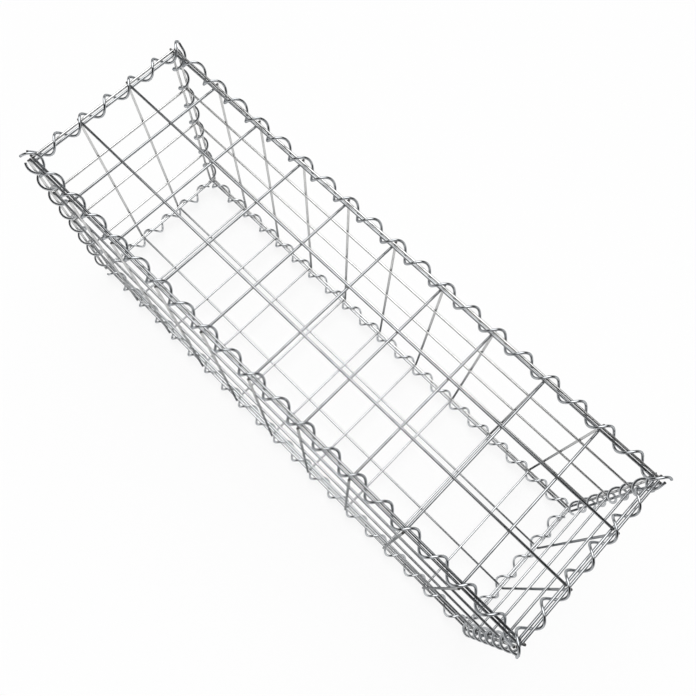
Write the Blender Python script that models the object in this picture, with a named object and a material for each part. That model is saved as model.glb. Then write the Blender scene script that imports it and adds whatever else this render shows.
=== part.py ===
"""A welded-mesh gabion basket with its lid laced down.

Six flat panels of welded wire make a box, and a spiral wire binder is screwed along each of its
twelve edges. Metres, +Z up, X along the basket. The origin is on the ground under its middle.
"""

import math

import bmesh
import bpy
from mathutils import Matrix, Vector

# Welded mesh
CELL = 0.100  # spacing of the wires
CELLS_LONG = 10
CELLS_WIDE = 3
CELLS_HIGH = 4
WIRE = 0.004  # diameter of the panels' wire
WELD_SINK = 0.0005  # how far two crossing wires melt into each other
STUB = 0.002  # from the centre of the last weld to a wire's cut end

# The lid and the base drop in between the walls, so their outer cells are cut short
LID_END_CELL = 0.0965  # the last cell at each end of the lid and base
LID_SIDE_CELL = 0.0935  # the last cell along each side of the lid and base
EDGE_PAIR = 0.005  # from a lid or base edge wire to the wall rail beside it, centre to centre

# Spiral binders
BINDER_WIRE = 0.004
BINDER_SLACK = 0.000311  # room that a spiral leaves round the widest pair of wires it holds
TURNS_PER_CELL = 2
SEAT_GAP = 0.0004  # clearance left for a spiral round a wire; its facets take up to 0.15 mm of it
OVER_END = 0.0125  # how far a spiral that crosses over a corner runs on past it
OPEN_START = 0.0125  # how far short of the corner the other spiral stops curling
OPEN_TAIL = 0.012  # its straight last length
UPRIGHT_SHORT = 0.0125  # how far an upright spiral stops short of the top and bottom rails
BASE_SHORT_SLIDE = -0.004  # how far along Y the base's short spirals lie from the middle
BASE_SHORT_STOP = 0.01875  # how far from the corner, before that slide, they are cut off

# How a spiral is wound: which way, and how far round from its outward side it is at its middle
LEFT_HANDED = -1
RIGHT_HANDED = 1
UPRIGHT_WINDINGS = {
    "front_left": (LEFT_HANDED, math.radians(-90)),
    "back_left": (RIGHT_HANDED, math.radians(90)),
    "back_right": (LEFT_HANDED, 0.0),
    "front_right": (RIGHT_HANDED, math.radians(90)),
}

# Facets
WIRE_SIDES = 6
BINDER_SIDES = 5
STEPS_PER_TURN = 8
SHARP_ANGLE = math.radians(65)  # facets that meet at a larger angle keep a hard edge

X, Y, Z = Vector((1, 0, 0)), Vector((0, 1, 0)), Vector((0, 0, 1))

GALVANISED_MESH = ((0.62, 0.64, 0.66), 0.34)
GALVANISED_SPIRAL = ((0.70, 0.72, 0.74), 0.28)


def facet_radius(diameter, sides):
    """Corner radius of the regular polygon that has the area of a round wire's section."""
    return diameter / 2 * math.sqrt(2 * math.pi / (sides * math.sin(2 * math.pi / sides)))


def line_places(cells, last_cell):
    """Where a panel's wires lie, from its middle: whole cells, then one end cell of its own size."""
    inner = [(index - cells / 2) * CELL for index in range(1, cells)]
    edge = inner[-1] + last_cell
    return [-edge, *inner, edge]


LID_LONG_Y = line_places(CELLS_WIDE, LID_SIDE_CELL)
LID_CROSS_X = line_places(CELLS_LONG, LID_END_CELL)
SIDE_UPRIGHT_X = line_places(CELLS_LONG, CELL)
END_UPRIGHT_Y = LID_LONG_Y
RAIL_HEIGHTS = line_places(CELLS_HIGH, CELL)  # from mid height

WELD_STEP = WIRE - WELD_SINK  # from the centre of a wire to that of one welded across it
SIDE_RAIL_Y = LID_LONG_Y[-1] + EDGE_PAIR
END_RAIL_X = LID_CROSS_X[-1] + EDGE_PAIR
TOP_RAIL = RAIL_HEIGHTS[-1]

# The two end wires at an upright corner lie furthest apart, so they set the size of the spirals
CORNER_SIDE_WIRE = Vector((SIDE_UPRIGHT_X[-1], SIDE_RAIL_Y + WELD_STEP))
CORNER_END_WIRE = Vector((END_RAIL_X + WELD_STEP, END_UPRIGHT_Y[-1]))
BORE_REACH = (CORNER_END_WIRE - CORNER_SIDE_WIRE).length / 2 + BINDER_SLACK

# Outside diameter of a spiral, which comes to 25 mm, and the radius of its centreline
PITCH = CELL / TURNS_PER_CELL
INNER_FLAT = facet_radius(BINDER_WIRE, BINDER_SIDES) * math.cos(math.pi / BINDER_SIDES)
COIL_FLAT = BORE_REACH + INNER_FLAT + facet_radius(WIRE, WIRE_SIDES) + SEAT_GAP
BINDER_OUTER = BINDER_WIRE + 2 * COIL_FLAT / math.cos(math.pi / STEPS_PER_TURN)
COIL_RADIUS = (BINDER_OUTER - BINDER_WIRE) / 2


def resting_axis(first, second):
    """The axis of a spiral that holds two wires and bears on both, in the plane across them."""
    span = second - first
    outward = Vector((-span.y, span.x)).normalized()
    return (first + second) / 2 + outward * math.sqrt(BORE_REACH**2 - span.length_squared / 4)


# Axes of the spirals, measured from the middle of the basket
LONG_AXIS_Y, LONG_AXIS_Z = resting_axis(
    Vector((LID_LONG_Y[-1], TOP_RAIL)), Vector((SIDE_RAIL_Y, TOP_RAIL))
)
SHORT_AXIS_X, SHORT_AXIS_Z = resting_axis(
    Vector((LID_CROSS_X[-1], TOP_RAIL - WELD_STEP)), Vector((END_RAIL_X, TOP_RAIL))
)
CORNER_AXIS_X, CORNER_AXIS_Y = resting_axis(CORNER_SIDE_WIRE, CORNER_END_WIRE)

# The ground lies under the lowest turns of the base's long spirals
MIDDLE_Z = LONG_AXIS_Z + COIL_RADIUS + facet_radius(BINDER_WIRE, BINDER_SIDES)


def clear_scene():
    for thing in list(bpy.data.objects):
        bpy.data.objects.remove(thing, do_unlink=True)


def steel(name, colour, roughness):
    material = bpy.data.materials.new(name)
    material.use_nodes = True
    shader = material.node_tree.nodes["Principled BSDF"]
    shader.inputs["Base Color"].default_value = (*colour, 1)
    shader.inputs["Metallic"].default_value = 1.0
    shader.inputs["Roughness"].default_value = roughness
    return material


def new_object(name, mesh_builder, finish):
    """Links an object whose mesh is what the builder put in it, shaded smooth, in its own steel."""
    work = bmesh.new()
    mesh_builder(work)
    bmesh.ops.recalc_face_normals(work, faces=work.faces)
    mesh = bpy.data.meshes.new(name)
    work.to_mesh(mesh)
    work.free()
    mesh.shade_smooth()
    mesh.set_sharp_from_angle(angle=SHARP_ANGLE)
    mesh.materials.append(steel(name + "_steel", *finish))
    thing = bpy.data.objects.new(name, mesh)
    bpy.context.scene.collection.objects.link(thing)
    return thing


def add_wire(work, middle, direction, flat_towards, length):
    """A straight faceted wire, with a flat of it facing flat_towards."""
    turn = Matrix((flat_towards, direction.cross(flat_towards), direction)).transposed().to_4x4()
    bmesh.ops.create_cone(
        work,
        cap_ends=True,
        segments=WIRE_SIDES,
        radius1=facet_radius(WIRE, WIRE_SIDES),
        radius2=facet_radius(WIRE, WIRE_SIDES),
        depth=length,
        matrix=Matrix.Translation(middle) @ turn,
    )


def welded_panel(name, middle, rail_way, bar_way, outward, rail_places, bar_places, bar_step):
    """One welded panel: rails along rail_way, and bars across them at bar_step further out."""
    rail_length = 2 * (bar_places[-1] + STUB)
    bar_length = 2 * (rail_places[-1] + STUB)

    def rails(work):
        for place in rail_places:
            add_wire(work, middle + bar_way * place, rail_way, outward, rail_length)

    def bars(work):
        for place in bar_places:
            at = middle + rail_way * place + outward * bar_step
            add_wire(work, at, bar_way, outward, bar_length)

    panel = new_object(name, rails, GALVANISED_MESH)
    helper = new_object(name + "_bars", bars, GALVANISED_MESH)
    helper.hide_render = True
    helper.display_type = "WIRE"
    weld = panel.modifiers.new("weld", "BOOLEAN")
    weld.operation = "UNION"
    weld.solver = "EXACT"
    weld.object = helper
    return panel


def spiral(name, axis_point, along, outward, start, end, winding, tails=(0.0, 0.0)):
    """One spiral along an edge, from start to end as measured from its middle.

    The winding gives its hand and how far round from outward it is at the middle. A tail is a
    straight length that carries on from the last turn.
    """
    hand, turned = winding
    sideways = along.cross(outward)
    turn_per_metre = hand * 2 * math.pi / PITCH

    def place(at):
        angle = turned + turn_per_metre * at
        arm = outward * math.cos(angle) + sideways * math.sin(angle)
        return axis_point + along * at + arm * COIL_RADIUS

    def heading(at):
        angle = turned + turn_per_metre * at
        swing = sideways * math.cos(angle) - outward * math.sin(angle)
        return (along + swing * COIL_RADIUS * turn_per_metre).normalized()

    def build(work):
        steps = round((end - start) / PITCH * STEPS_PER_TURN)
        tangent = heading(start)
        from_axis = (place(start) - axis_point - along * start).normalized()
        turn = Matrix((from_axis.cross(tangent), from_axis, tangent)).transposed().to_4x4()
        ring = bmesh.ops.create_circle(
            work,
            cap_ends=True,
            segments=BINDER_SIDES,
            radius=facet_radius(BINDER_WIRE, BINDER_SIDES),
            matrix=Matrix.Translation(place(start)) @ turn,
        )
        first = ring["verts"][0].link_faces[0]
        last = bmesh.ops.spin(
            work,
            geom=[first, *first.edges, *first.verts],
            cent=axis_point,
            axis=along,
            dvec=along * (end - start) / steps,
            angle=turn_per_metre * (end - start),
            steps=steps,
        )["geom_last"]
        ends = (
            (first, -heading(start), tails[0]),
            (next(part for part in last if isinstance(part, bmesh.types.BMFace)), heading(end), tails[1]),
        )
        for cap, way, length in ends:
            if length > 0:
                moved = bmesh.ops.extrude_face_region(work, geom=[cap])["geom"]
                corners = [part for part in moved if isinstance(part, bmesh.types.BMVert)]
                bmesh.ops.translate(work, verts=corners, vec=way * length)
                bmesh.ops.delete(work, geom=[cap], context="FACES_ONLY")

    return new_object(name, build, GALVANISED_SPIRAL)


def build_panels():
    middle = Vector((0, 0, MIDDLE_Z))
    top = Z * TOP_RAIL
    side = Y * SIDE_RAIL_Y
    end = X * END_RAIL_X
    welded_panel("lid", middle + top, X, Y, Z, LID_LONG_Y, LID_CROSS_X, -WELD_STEP)
    welded_panel("base", middle - top, X, Y, -Z, LID_LONG_Y, LID_CROSS_X, -WELD_STEP)
    welded_panel("back_side", middle + side, X, Z, Y, RAIL_HEIGHTS, SIDE_UPRIGHT_X, WELD_STEP)
    welded_panel("front_side", middle - side, X, Z, -Y, RAIL_HEIGHTS, SIDE_UPRIGHT_X, WELD_STEP)
    welded_panel("right_end", middle + end, Y, Z, X, RAIL_HEIGHTS, END_UPRIGHT_Y, WELD_STEP)
    welded_panel("left_end", middle - end, Y, Z, -X, RAIL_HEIGHTS, END_UPRIGHT_Y, WELD_STEP)


def lacing_ends(half_run, over_the_corner):
    """Where a spiral stops at one end, measured from its middle, and its straight tail there."""
    if over_the_corner:
        return half_run + OVER_END, 0.0
    return half_run - OPEN_START, OPEN_TAIL


def build_long_spirals():
    middle = Vector((0, 0, MIDDLE_Z))
    half_run = CELLS_LONG * CELL / 2
    for level, up in (("top", 1), ("base", -1)):
        for side, across in (("front", -1), ("back", 1)):
            axis_point = middle + Y * across * LONG_AXIS_Y + Z * up * LONG_AXIS_Z
            low, low_tail = lacing_ends(half_run, across * up < 0)
            high, high_tail = lacing_ends(half_run, across * up > 0)
            name = f"{level}_{side}_binder"
            spiral(name, axis_point, X, Z * up, -low, high, (LEFT_HANDED, 0), (low_tail, high_tail))


def build_short_spirals():
    """The base's short spirals are wound the other way from the lid's, as the photograph has them."""
    middle = Vector((0, 0, MIDDLE_Z))
    half_run = CELLS_WIDE * CELL / 2
    open_end = lacing_ends(half_run, False)
    over_end = lacing_ends(half_run, True)
    cut_end = (half_run - BASE_SHORT_STOP, 0.0)
    for name, up, along, hand, slide, low_end, high_end in (
        ("top_left_binder", 1, -1, LEFT_HANDED, 0, open_end, over_end),
        ("top_right_binder", 1, 1, LEFT_HANDED, 0, over_end, open_end),
        ("base_left_binder", -1, -1, RIGHT_HANDED, BASE_SHORT_SLIDE, cut_end, cut_end),
        ("base_right_binder", -1, 1, RIGHT_HANDED, BASE_SHORT_SLIDE, cut_end, cut_end),
    ):
        axis_point = middle + X * along * SHORT_AXIS_X + Y * slide + Z * up * SHORT_AXIS_Z
        ends = (-low_end[0], high_end[0])
        spiral(name, axis_point, Y, Z * up, *ends, (hand, 0), (low_end[1], high_end[1]))


def build_upright_spirals():
    middle = Vector((0, 0, MIDDLE_Z))
    reach = CELLS_HIGH * CELL / 2 - UPRIGHT_SHORT
    for side, across in (("front", -1), ("back", 1)):
        for end, along in (("left", -1), ("right", 1)):
            corner = f"{side}_{end}"
            axis_point = middle + X * along * CORNER_AXIS_X + Y * across * CORNER_AXIS_Y
            outward = (X * along + Y * across).normalized()
            winding = UPRIGHT_WINDINGS[corner]
            spiral(corner + "_binder", axis_point, Z, outward, -reach, reach, winding)


clear_scene()
build_panels()
build_long_spirals()
build_short_spirals()
build_upright_spirals()
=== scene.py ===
# %% [markdown]
# # An empty gabion basket
#
# A gabion is a wire box that is filled with stones to make a wall. This one is empty and closed.
# Six flat panels of welded mesh make the box, and a spiral wire is screwed along each of its
# twelve edges to hold them together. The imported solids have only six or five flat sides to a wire,
# so this scene makes the same wires again, at the same sizes and places, round and zinc-coated.

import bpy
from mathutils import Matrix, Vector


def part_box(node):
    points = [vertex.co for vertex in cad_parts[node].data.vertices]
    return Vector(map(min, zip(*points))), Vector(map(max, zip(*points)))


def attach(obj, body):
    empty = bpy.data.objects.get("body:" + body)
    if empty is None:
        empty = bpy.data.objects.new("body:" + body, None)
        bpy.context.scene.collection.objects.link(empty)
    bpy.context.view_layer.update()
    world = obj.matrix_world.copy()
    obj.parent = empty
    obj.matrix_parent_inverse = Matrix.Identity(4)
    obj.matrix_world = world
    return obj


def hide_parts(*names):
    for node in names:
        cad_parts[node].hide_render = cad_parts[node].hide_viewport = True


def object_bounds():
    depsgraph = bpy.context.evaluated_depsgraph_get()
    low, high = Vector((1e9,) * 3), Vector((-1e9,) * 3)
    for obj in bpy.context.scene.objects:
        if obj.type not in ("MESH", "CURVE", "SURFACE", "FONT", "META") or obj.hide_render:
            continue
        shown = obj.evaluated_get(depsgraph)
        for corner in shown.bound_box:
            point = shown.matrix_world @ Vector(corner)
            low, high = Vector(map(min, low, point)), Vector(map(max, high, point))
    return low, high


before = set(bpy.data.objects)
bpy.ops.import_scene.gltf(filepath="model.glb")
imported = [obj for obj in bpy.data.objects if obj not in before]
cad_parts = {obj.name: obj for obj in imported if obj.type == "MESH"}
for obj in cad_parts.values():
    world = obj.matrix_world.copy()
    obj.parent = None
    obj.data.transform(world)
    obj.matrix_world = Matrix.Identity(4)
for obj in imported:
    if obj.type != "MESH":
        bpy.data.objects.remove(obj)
cad_low, cad_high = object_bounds()
print("packed box", [round(value, 4) for value in (*cad_low, *cad_high)])

# %% Tools for meshes and materials
import math

import bmesh
import bpy
from mathutils import Euler, Matrix, Vector

X, Y, Z = Vector((1, 0, 0)), Vector((0, 1, 0)), Vector((0, 0, 1))

# %% [markdown]
# ## Materials
#
# A material is a tree of nodes. The class below holds one socket of such a tree, so that sums can
# be written as sums: `patches * 2 - 1` adds two Math nodes. Every other kind of node comes from
# its `node` method, which is given the node's settings and what goes into its sockets.


# %% Sums on sockets
MIX_LOW, MIX_HIGH, MIX_RESULT = 6, 7, 2  # the Mix node's sockets for colours


class Shade:
    def __init__(self, tree, socket=None):
        self.tree = tree
        self.socket = socket

    def node(self, kind, settings, values, output=0):
        made = self.tree.nodes.new(kind)
        for name, value in settings.items():
            setattr(made, name, value)
        for name, value in values.items():
            if isinstance(value, Shade):
                self.tree.links.new(value.socket, made.inputs[name])
            else:
                made.inputs[name].default_value = value
        return Shade(self.tree, made.outputs[output])

    def beside(self, output):
        """Another output of the same node."""
        return Shade(self.tree, self.socket.node.outputs[output])

    def maths(self, operation, first, second, clamped=False):
        settings = {"operation": operation, "use_clamp": clamped}
        return self.node("ShaderNodeMath", settings, {0: first, 1: second})

    def __add__(self, other):
        return self.maths("ADD", self, other)

    def __sub__(self, other):
        return self.maths("SUBTRACT", self, other)

    def __rsub__(self, other):
        return self.maths("SUBTRACT", other, self)

    def __mul__(self, other):
        return self.maths("MULTIPLY", self, other)

    def clipped(self):
        """The same value, held between 0 and 1."""
        return self.maths("MINIMUM", self, 1.0, clamped=True)

    def between(self, low, high):
        """A colour that goes from low to high as this value goes from 0 to 1."""
        low, high = (colour if isinstance(colour, Shade) else (*colour, 1) for colour in (low, high))
        values = {0: self, MIX_LOW: low, MIX_HIGH: high}
        return self.node("ShaderNodeMix", {"data_type": "RGBA"}, values, MIX_RESULT)


# %% [markdown]
# Hot-dip zinc is not one even grey. Bright metal shows between cloudy, duller patches a few
# centimetres long, and a fine grain roughens the surface. Noise textures on the piece's own
# coordinates give both, so that the pattern stays put when the basket is seen from another side.
# The back side, the left end and the front side's uprights get a paler copy of the zinc: that is
# painted light, for the brighter light that falls on them. All the zinc is also painted paler
# towards the ground, which is painted light too. Where two wires are welded the zinc is darker and
# duller. The sheared ends of the wires have no zinc at all: they are bare, dark steel.

# %% Zinc finishes
# Painted light: all the zinc is painted paler from this height down to the ground
PAINTED_LIGHT_HEIGHT = 0.40  # the zinc gets paler from here down to the ground
PATCHES_PER_METRE, PATCH_DETAIL = 45, 4.0
PATCH_CONTRAST, PATCH_OFFSET = 4, 1.5  # noise of 0.375 is bright zinc, and noise of 0.625 is dull
GRAINS_PER_METRE, GRAIN_DETAIL = 500, 2.0
GRAIN_HEIGHT, GRAIN_STRENGTH = 0.00001, 0.6
GRAIN_ROUGHNESS = 0.04
DULL_ROUGHNESS = 0.10  # added to the roughness where the zinc is cloudy
EDGE_TINT = (0.20, 0.21, 0.22, 1)  # what zinc mirrors at a glancing angle is darker


def zinc(name, bright, dull, pale, roughness):
    """A finish that goes from bright to dull in patches, and to pale towards the ground, which is painted
    light.
    """
    material = bpy.data.materials.new(name)
    material.use_nodes = True
    tree = material.node_tree
    steel = tree.nodes["Principled BSDF"]
    steel.inputs["Metallic"].default_value = 1.0
    steel.inputs["Specular Tint"].default_value = EDGE_TINT
    place = Shade(tree).node("ShaderNodeTexCoord", {}, {}, "Object")
    cloud = place.node(
        "ShaderNodeTexNoise", {}, {"Vector": place, "Scale": PATCHES_PER_METRE, "Detail": PATCH_DETAIL}
    )
    grain = place.node(
        "ShaderNodeTexNoise", {}, {"Vector": place, "Scale": GRAINS_PER_METRE, "Detail": GRAIN_DETAIL}
    )
    dullness = (cloud * PATCH_CONTRAST - PATCH_OFFSET).clipped()
    height = place.node("ShaderNodeSeparateXYZ", {}, {"Vector": place}, "Z")
    # Painted light: how far the colour has turned to the paler tone near the ground
    depth = (1 - height * (1 / PAINTED_LIGHT_HEIGHT)).clipped()
    colour = depth.between(dullness.between(bright, dull), pale)
    gloss = dullness * DULL_ROUGHNESS + grain * GRAIN_ROUGHNESS + (roughness - GRAIN_ROUGHNESS / 2)
    bumps = grain.node(
        "ShaderNodeBump", {}, {"Height": grain, "Distance": GRAIN_HEIGHT, "Strength": GRAIN_STRENGTH}
    )
    tree.links.new(colour.socket, steel.inputs["Base Color"])
    tree.links.new(gloss.socket, steel.inputs["Roughness"])
    tree.links.new(bumps.socket, steel.inputs["Normal"])
    return material


# The fourth colour of each finish is painted light: the paler tone it turns to near the ground
MESH_ZINC = zinc("mesh_zinc", (0.42, 0.43, 0.44), (0.34, 0.35, 0.36), (0.60, 0.61, 0.62), 0.12)
# Painted light: a paler copy of the mesh zinc, for the wires that the light falls on more brightly
PAINTED_LIGHT_ZINC = zinc("painted_light_zinc", (0.72, 0.72, 0.715), (0.64, 0.64, 0.635), (0.74, 0.74, 0.735), 0.18)
WELD_ZINC = zinc("weld_zinc", (0.28, 0.285, 0.29), (0.22, 0.22, 0.22), (0.46, 0.46, 0.46), 0.34)
SPIRAL_ZINC = zinc("spiral_zinc", (0.52, 0.535, 0.55), (0.43, 0.445, 0.46), (0.60, 0.615, 0.63), 0.10)
CUT_STEEL = zinc("cut_steel", (0.09, 0.088, 0.086), (0.06, 0.058, 0.056), (0.14, 0.136, 0.132), 0.45)
FINISHES = (MESH_ZINC, PAINTED_LIGHT_ZINC, WELD_ZINC, SPIRAL_ZINC, CUT_STEEL)
print("finishes", [material.name for material in FINISHES])

# %% [markdown]
# ## Welded panels
#
# A panel is a set of rails with bars welded across them. Each wire is a cylinder with its two cut
# ends bevelled a little. Every crossing gets a small flattened bead, where the metal has been
# squeezed out of the weld, so that the wires look fused and not just laid on each other.

# %% Sizes of the mesh
CELL = 0.100
CELLS_LONG, CELLS_WIDE, CELLS_HIGH = 10, 3, 4
WIRE = 0.004
WELD_STEP = 0.0035  # from the centre of a wire to that of one welded across it
STUB = 0.002  # from the centre of the last weld to a wire's cut end
LID_END_CELL, LID_SIDE_CELL = 0.0965, 0.0935  # the lid's and base's outer cells are cut short
EDGE_PAIR = 0.005  # from a lid or base edge wire to the wall rail beside it
MIDDLE_Z = (cad_low.z + cad_high.z) / 2

# How the wires, their cut ends and the weld beads are rounded
WIRE_SIDES = 20
CUT_BEVEL, BEVEL_STEPS, ROUND_BEVEL = 0.0004, 2, 0.5
BEAD_RADIUS, BEAD_HALF_HEIGHT = 0.0024, 0.0012  # in the panel, and across it
BEAD_SIDES, BEAD_RINGS = 12, 6
SHARP_ANGLE = math.radians(50)  # faces that meet at a larger angle keep a hard edge


def line_places(cells, last_cell):
    """Where a panel's wires lie, from its middle: whole cells, then one end cell of its own size."""
    inner = [(index - cells / 2) * CELL for index in range(1, cells)]
    edge = inner[-1] + last_cell
    return [-edge, *inner, edge]


LID_LONG_Y = line_places(CELLS_WIDE, LID_SIDE_CELL)
LID_CROSS_X = line_places(CELLS_LONG, LID_END_CELL)
SIDE_UPRIGHT_X = line_places(CELLS_LONG, CELL)
END_UPRIGHT_Y = LID_LONG_Y
RAIL_HEIGHTS = line_places(CELLS_HIGH, CELL)
SIDE_RAIL_Y = LID_LONG_Y[-1] + EDGE_PAIR
END_RAIL_X = LID_CROSS_X[-1] + EDGE_PAIR
TOP_RAIL = RAIL_HEIGHTS[-1]
print("middle height", round(MIDDLE_Z, 4), "wires along the lid at", LID_LONG_Y)


# %% One piece that stands for a node
def finished(node, suffix, slot, work, *materials):
    """Makes a bmesh into a piece that stands where the node stands and rides with the basket."""
    bmesh.ops.recalc_face_normals(work, faces=work.faces)
    mesh = bpy.data.meshes.new(node + suffix)
    work.to_mesh(mesh)
    work.free()
    mesh.shade_smooth()
    mesh.set_sharp_from_angle(angle=SHARP_ANGLE)
    for material in materials:
        mesh.materials.append(material)
    piece = bpy.data.objects.new(node + suffix, mesh)
    bpy.context.scene.collection.objects.link(piece)
    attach(piece, "root")
    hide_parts(node)
    return piece


def finish_cut_ends(work, sides, cut_material):
    """Takes the burr off both ends of every wire and makes them bare steel.

    The ends are the only faces with that many corners, before the bevel and after it.
    """
    ends = [face for face in work.faces if len(face.verts) == sides]
    rims = [edge for face in ends for edge in face.edges]
    bevelled = bmesh.ops.bevel(
        work,
        geom=rims,
        offset=CUT_BEVEL,
        affect="EDGES",
        segments=BEVEL_STEPS,
        profile=ROUND_BEVEL,
        material=-1,
    )
    for face in (*bevelled["faces"], *(face for face in work.faces if len(face.verts) == sides)):
        face.material_index = cut_material


# %% Wires, beads and panels
# The order of a panel's materials
RAIL_MATERIAL, BEAD_MATERIAL, BAR_MATERIAL, CUT_MATERIAL = 0, 1, 2, 3


def facing(place, way):
    """The matrix that puts a thing at a place with its own Z axis along the way."""
    return Matrix.Translation(place) @ way.to_track_quat("Z", "Y").to_matrix().to_4x4()


def paint(made, material):
    for corner in made["verts"]:
        for face in corner.link_faces:
            face.material_index = material


def add_wires(work, middles, way, length, material):
    for middle in middles:
        wire = bmesh.ops.create_cone(
            work,
            cap_ends=True,
            segments=WIRE_SIDES,
            radius1=WIRE / 2,
            radius2=WIRE / 2,
            depth=length,
            matrix=facing(middle, way),
        )
        paint(wire, material)


def add_beads(work, places, outward):
    flatten = Matrix.Diagonal((BEAD_RADIUS, BEAD_RADIUS, BEAD_HALF_HEIGHT, 1))
    for place in places:
        bead = bmesh.ops.create_uvsphere(
            work,
            u_segments=BEAD_SIDES,
            v_segments=BEAD_RINGS,
            radius=1,
            matrix=facing(place, outward) @ flatten,
        )
        paint(bead, BEAD_MATERIAL)


def welded_panel(node, zincs, middle, rail_way, bar_way, outward, rail_places, bar_places, bar_step):
    """Rails, and bars that lie bar_step further outward, with a bead wherever they cross."""
    rail_zinc, bar_zinc = zincs
    work = bmesh.new()
    rails = [middle + bar_way * place for place in rail_places]
    bars = [middle + rail_way * place + outward * bar_step for place in bar_places]
    add_wires(work, rails, rail_way, 2 * (bar_places[-1] + STUB), RAIL_MATERIAL)
    add_wires(work, bars, bar_way, 2 * (rail_places[-1] + STUB), BAR_MATERIAL)
    finish_cut_ends(work, WIRE_SIDES, CUT_MATERIAL)
    half_step = outward * (bar_step / 2)
    welds = [middle + rail_way * a + bar_way * b + half_step for a in bar_places for b in rail_places]
    add_beads(work, welds, outward)
    piece = finished(node, "_wires", "mesh", work, rail_zinc, WELD_ZINC, bar_zinc, CUT_STEEL)
    print(piece.name, len(rails), "rails", len(bars), "bars", len(piece.data.polygons), "faces")


# %% [markdown]
# The lid lies with its long wires on top, and the base is the same panel turned over. The walls
# have their rails inside and their uprights outside.

# %% The six panels
middle = Z * MIDDLE_Z
top, side, end = Z * TOP_RAIL, Y * SIDE_RAIL_Y, X * END_RAIL_X
# The zinc of a panel's rails, then that of its bars
plain_zincs = (MESH_ZINC, MESH_ZINC)
# Painted light: the back side, the left end and the front side's uprights take the paler, lit zinc
painted_light_zincs = (PAINTED_LIGHT_ZINC, PAINTED_LIGHT_ZINC)
painted_light_bar_zincs = (MESH_ZINC, PAINTED_LIGHT_ZINC)

welded_panel("lid", plain_zincs, middle + top, X, Y, Z, LID_LONG_Y, LID_CROSS_X, -WELD_STEP)
welded_panel("base", plain_zincs, middle - top, X, Y, -Z, LID_LONG_Y, LID_CROSS_X, -WELD_STEP)
welded_panel("back_side", painted_light_zincs, middle + side, X, Z, Y, RAIL_HEIGHTS, SIDE_UPRIGHT_X, WELD_STEP)
welded_panel("front_side", painted_light_bar_zincs, middle - side, X, Z, -Y, RAIL_HEIGHTS, SIDE_UPRIGHT_X, WELD_STEP)
welded_panel("right_end", plain_zincs, middle + end, Y, Z, X, RAIL_HEIGHTS, END_UPRIGHT_Y, WELD_STEP)
welded_panel("left_end", painted_light_zincs, middle - end, Y, Z, -X, RAIL_HEIGHTS, END_UPRIGHT_Y, WELD_STEP)

# %% [markdown]
# ## Spiral binders
#
# A binder is a round wire wound like a corkscrew, two turns to a cell. Blender's Spin operator
# makes it in one go: it turns a small ring round the edge's axis and moves it along at the same
# time. Where one binder crosses over a corner the other ends in a short straight tail.

# %% Sizes of the spirals
BINDER_WIRE = 0.004
COIL_RADIUS = 0.0105  # from the spiral's axis to the middle of its wire
PITCH = CELL / 2
BINDER_SIDES = 14
STEPS_PER_TURN = 32

# Where the spirals' axes lie, measured from the middle of the basket
LONG_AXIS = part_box("top_back_binder")
LONG_AXIS_Y = (LONG_AXIS[0].y + LONG_AXIS[1].y) / 2
LONG_AXIS_Z = (LONG_AXIS[0].z + LONG_AXIS[1].z) / 2 - MIDDLE_Z
SHORT_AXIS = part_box("top_right_binder")
SHORT_AXIS_X = (SHORT_AXIS[0].x + SHORT_AXIS[1].x) / 2
SHORT_AXIS_Z = (SHORT_AXIS[0].z + SHORT_AXIS[1].z) / 2 - MIDDLE_Z
CORNER_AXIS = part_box("back_right_binder")
CORNER_AXIS_X = (CORNER_AXIS[0].x + CORNER_AXIS[1].x) / 2
CORNER_AXIS_Y = (CORNER_AXIS[0].y + CORNER_AXIS[1].y) / 2
axes = (LONG_AXIS_Y, LONG_AXIS_Z, SHORT_AXIS_X, SHORT_AXIS_Z, CORNER_AXIS_X, CORNER_AXIS_Y)
print("axes", [round(value, 5) for value in axes])

# How far the spirals run past a corner, or stop short of it
OVER_END, OPEN_START, OPEN_TAIL = 0.0125, 0.0125, 0.012
UPRIGHT_SHORT = 0.0125
BASE_SHORT_SLIDE, BASE_SHORT_STOP = -0.004, 0.01875

# How a spiral is wound: which way, and how far round from its outward side it is at its middle
LEFT_HANDED, RIGHT_HANDED = -1, 1
UPRIGHT_WINDINGS = {
    "front_left": (LEFT_HANDED, math.radians(-90)),
    "back_left": (RIGHT_HANDED, math.radians(90)),
    "back_right": (LEFT_HANDED, 0.0),
    "front_right": (RIGHT_HANDED, math.radians(90)),
}


# %% One spiral
SPIRAL_CUT_MATERIAL = 1  # after its zinc


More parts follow.
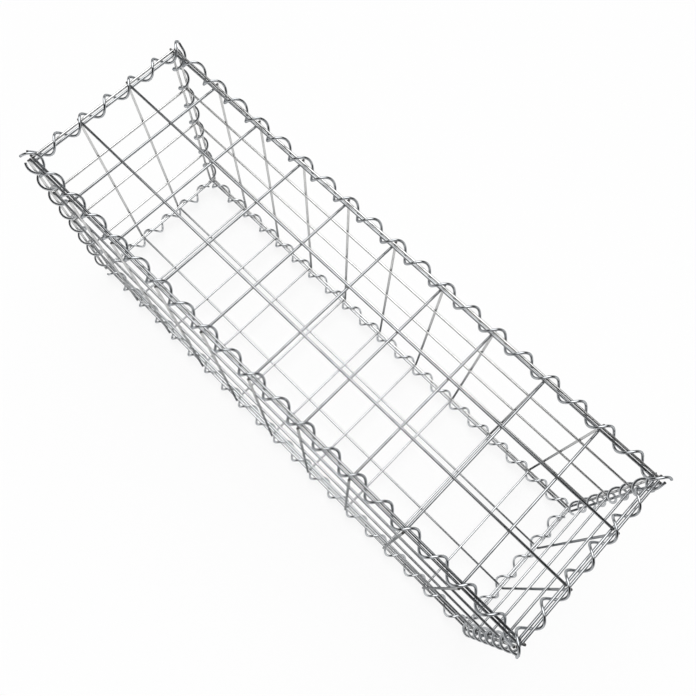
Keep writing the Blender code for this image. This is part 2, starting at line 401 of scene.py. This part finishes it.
def spiral(node, axis_point, along, outward, start, end, winding, tails=(0.0, 0.0)):
    """A spiral round the axis from start to end, both measured from its middle."""
    hand, turned = winding
    sideways = along.cross(outward)
    turn_per_metre = hand * 2 * math.pi / PITCH

    def place(at):
        angle = turned + turn_per_metre * at
        from_axis = outward * math.cos(angle) + sideways * math.sin(angle)
        return axis_point + along * at + from_axis * COIL_RADIUS

    def heading(at):
        angle = turned + turn_per_metre * at
        swing = sideways * math.cos(angle) - outward * math.sin(angle)
        return (along + swing * COIL_RADIUS * turn_per_metre).normalized()

    work = bmesh.new()
    ring = bmesh.ops.create_circle(
        work,
        cap_ends=True,
        segments=BINDER_SIDES,
        radius=BINDER_WIRE / 2,
        matrix=facing(place(start), heading(start)),
    )
    first = ring["verts"][0].link_faces[0]
    steps = round((end - start) / PITCH * STEPS_PER_TURN)
    spun = bmesh.ops.spin(
        work,
        geom=[first, *first.edges, *first.verts],
        cent=axis_point,
        axis=along,
        dvec=along * (end - start) / steps,
        angle=turn_per_metre * (end - start),
        steps=steps,
    )
    last = next(part for part in spun["geom_last"] if isinstance(part, bmesh.types.BMFace))
    for cap, way, length in ((first, -heading(start), tails[0]), (last, heading(end), tails[1])):
        if length > 0:
            moved = bmesh.ops.extrude_face_region(work, geom=[cap])["geom"]
            corners = [part for part in moved if isinstance(part, bmesh.types.BMVert)]
            bmesh.ops.translate(work, verts=corners, vec=way * length)
            bmesh.ops.delete(work, geom=[cap], context="FACES_ONLY")
    finish_cut_ends(work, BINDER_SIDES, SPIRAL_CUT_MATERIAL)
    piece = finished(node, "_spiral", "spiral", work, SPIRAL_ZINC, CUT_STEEL)
    print(piece.name, round((end - start) / PITCH, 2), "turns", len(piece.data.polygons), "faces")


def lacing_ends(half_run, over_the_corner):
    """Where a spiral stops at one end, measured from its middle, and its straight tail there."""
    if over_the_corner:
        return half_run + OVER_END, 0.0
    return half_run - OPEN_START, OPEN_TAIL


# %% Four long spirals
half_length = CELLS_LONG * CELL / 2
for level, up in (("top", 1), ("base", -1)):
    for edge, across in (("front", -1), ("back", 1)):
        axis_point = middle + Y * across * LONG_AXIS_Y + Z * up * LONG_AXIS_Z
        low, low_tail = lacing_ends(half_length, across * up < 0)
        high, high_tail = lacing_ends(half_length, across * up > 0)
        winding = (LEFT_HANDED, 0.0)
        spiral(f"{level}_{edge}_binder", axis_point, X, Z * up, -low, high, winding, (low_tail, high_tail))

# %% [markdown]
# The base's short binders are wound the other way from the lid's, as they are on the real basket.
# They are cut off before the corners, where the base's long binders cross.

# %% Four short spirals
half_width = CELLS_WIDE * CELL / 2
open_end = lacing_ends(half_width, False)
over_end = lacing_ends(half_width, True)
cut_end = (half_width - BASE_SHORT_STOP, 0.0)
for node, up, along, hand, slide, low_end, high_end in (
    ("top_left_binder", 1, -1, LEFT_HANDED, 0, open_end, over_end),
    ("top_right_binder", 1, 1, LEFT_HANDED, 0, over_end, open_end),
    ("base_left_binder", -1, -1, RIGHT_HANDED, BASE_SHORT_SLIDE, cut_end, cut_end),
    ("base_right_binder", -1, 1, RIGHT_HANDED, BASE_SHORT_SLIDE, cut_end, cut_end),
):
    axis_point = middle + X * along * SHORT_AXIS_X + Y * slide + Z * up * SHORT_AXIS_Z
    spiral(node, axis_point, Y, Z * up, -low_end[0], high_end[0], (hand, 0.0), (low_end[1], high_end[1]))

# %% Four upright spirals
reach = CELLS_HIGH * CELL / 2 - UPRIGHT_SHORT
for edge, across in (("front", -1), ("back", 1)):
    for way, along in (("left", -1), ("right", 1)):
        corner = f"{edge}_{way}"
        axis_point = middle + X * along * CORNER_AXIS_X + Y * across * CORNER_AXIS_Y
        outward = (X * along + Y * across).normalized()
        spiral(corner + "_binder", axis_point, Z, outward, -reach, reach, UPRIGHT_WINDINGS[corner])

# %% [markdown]
# ## Floor and light
#
# The basket stands on a plain white floor. Part of the floor's white is its own glow towards the
# camera and towards mirrors, so that the background stays white while the wires still cast a
# faint shadow. A pale wall rises from the floor's far edge and fades out above. The studio is dark
# between that wall and a round skylight almost overhead: round metal wires need something dark to
# mirror, or they vanish against white, and something bright, or they have no gleam. All of this
# lights an upward face at a level of 1, at which its colour renders as it is written.

# %% The floor
WHITE = (1, 1, 1, 1)
FLOOR_SIZE = 60.0
FLOOR_PAINT = (0.95, 0.95, 0.95, 1)
FLOOR_GLOW = 0.85  # the share of the floor's white that no shadow darkens

work = bmesh.new()
bmesh.ops.create_grid(work, x_segments=1, y_segments=1, size=FLOOR_SIZE / 2)
floor_mesh = bpy.data.meshes.new("floor")
work.to_mesh(floor_mesh)
work.free()
floor = bpy.data.objects.new("floor", floor_mesh)
bpy.context.scene.collection.objects.link(floor)

floor_white = bpy.data.materials.new("floor_white")
floor_white.use_nodes = True
floor_mesh.materials.append(floor_white)
tree = floor_white.node_tree
camera_ray = Shade(tree).node("ShaderNodeLightPath", {}, {}, "Is Camera Ray")
glossy_ray = camera_ray.beside("Is Glossy Ray")
transmission_ray = camera_ray.beside("Is Transmission Ray")
seen = (camera_ray + glossy_ray + transmission_ray).clipped()
matt = seen.node("ShaderNodeBsdfDiffuse", {}, {"Color": FLOOR_PAINT})
glow = seen.node("ShaderNodeEmission", {}, {"Color": WHITE, "Strength": 1.0})
surface = seen.node("ShaderNodeMixShader", {}, {0: seen * FLOOR_GLOW, 1: matt, 2: glow})
tree.links.new(surface.socket, tree.nodes["Material Output"].inputs["Surface"])

# %% The studio's wall and skylight
SKYLIGHT_WAY = Vector((-0.27, 0.25, 1.0)).normalized()
SKYLIGHT_GLOW = 3.2
SKYLIGHT_EDGE, SKYLIGHT_SOFTNESS = 0.76, 0.14  # cosine at its rim, and how far in it is full
WALL_GLOW, WALL_TOP = 0.85, 0.42  # brightness at the horizon, and the height at which it has faded
GAP_GLOW = 0.02  # what is left in the dark between them

world = bpy.data.worlds.new("studio")
world.use_nodes = True
bpy.context.scene.world = world
tree = world.node_tree
direction = Shade(tree).node("ShaderNodeTexCoord", {}, {}, "Generated")
height = direction.node("ShaderNodeSeparateXYZ", {}, {"Vector": direction}, "Z")
nearness = direction.node(
    "ShaderNodeVectorMath", {"operation": "DOT_PRODUCT"}, {0: direction, 1: SKYLIGHT_WAY}, "Value"
)
skylight = ((nearness - SKYLIGHT_EDGE) * (1 / SKYLIGHT_SOFTNESS)).clipped() * SKYLIGHT_GLOW
wall = (1 - height * (1 / WALL_TOP)).clipped() * WALL_GLOW
brightness = skylight + wall + GAP_GLOW
tree.nodes["Background"].inputs["Color"].default_value = WHITE
tree.links.new(brightness.socket, tree.nodes["Background"].inputs["Strength"])

# %% [markdown]
# ## Camera
#
# The camera stands where the mesh's own crossings say it stood: square cells of a known size pin
# down its place, its turn and its lens.

# %% The camera
CAMERA_PLACE = (0.28247, -0.26242, 1.40603)
CAMERA_TURN = (18.1404, -1.0376, 44.5832)  # degrees about X, Y and Z
CAMERA_LENS, SENSOR_WIDTH = 37.4318, 36  # millimetres
CAMERA_SHIFT = (-0.000714, 0.000719)

camera = bpy.data.cameras.new("camera")
camera.sensor_width = SENSOR_WIDTH
camera.lens = CAMERA_LENS
camera.shift_x, camera.shift_y = CAMERA_SHIFT
stand = bpy.data.objects.new("camera", camera)
stand.location = CAMERA_PLACE
stand.rotation_euler = Euler([math.radians(angle) for angle in CAMERA_TURN], "XYZ")
bpy.context.scene.collection.objects.link(stand)
bpy.context.scene.camera = stand
bpy.context.scene.view_settings.view_transform = "Standard"
